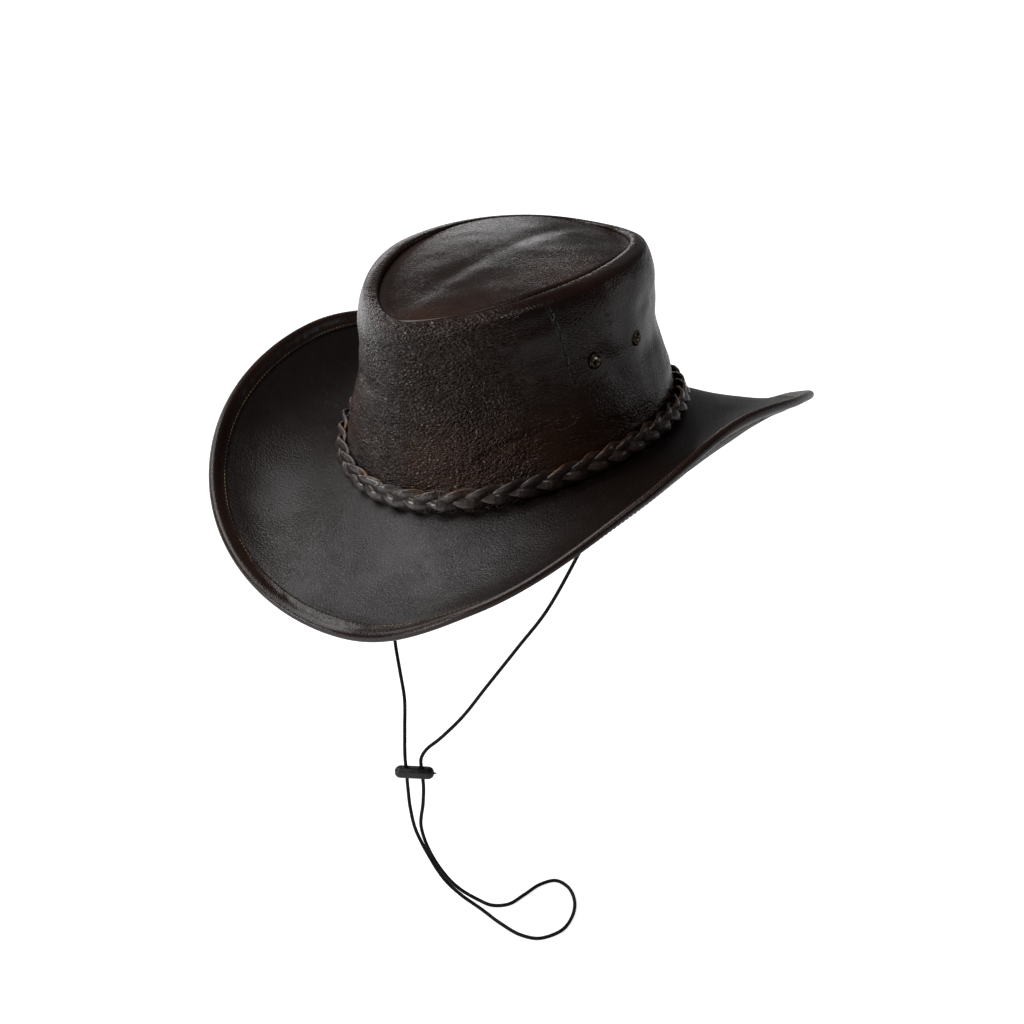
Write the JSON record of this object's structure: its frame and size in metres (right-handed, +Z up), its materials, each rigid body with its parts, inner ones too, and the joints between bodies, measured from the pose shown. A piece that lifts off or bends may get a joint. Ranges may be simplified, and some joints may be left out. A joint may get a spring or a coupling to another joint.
{
  "type": "leather cowboy hat",
  "caption": "Dark brown leather cowboy hat with a waisted teardrop crown, curled brim, plaited band, vent eyelets and a chin cord with a slide toggle.",
  "frame": {"origin": "middle of the head opening, at the mean height of the crown's foot, where the hat sits on a head", "axes": "+Z up along the crown, -Y the hat's front, +X the wearer's left"},
  "size_m": [0.2826, 0.3213, 0.3698],
  "materials": {
    "crown_leather": "waxy, satin",
    "brim_leather": "waxy, satin",
    "edge_leather": "waxy, satin",
    "band_leather": "glossy",
    "eyelet_brass": "antique, satin",
    "cord_black": "round braided cord, satin",
    "toggle_black": "satin gloss"
  },
  "bodies": {
    "root": {"crown_side": "crown_leather", "crown_top": "crown_leather", "brim": "brim_leather", "brim_binding": "edge_leather", "braid_band": "band_leather", "eyelet_left_front": "eyelet_brass", "eyelet_left_rear": "eyelet_brass", "eyelet_right_front": "eyelet_brass", "eyelet_right_rear": "eyelet_brass", "chin_cord": "cord_black", "cord_toggle": "toggle_black", "cord_anchor_left": "brim_leather", "cord_anchor_right": "brim_leather"}
  },
  "joints": []
}
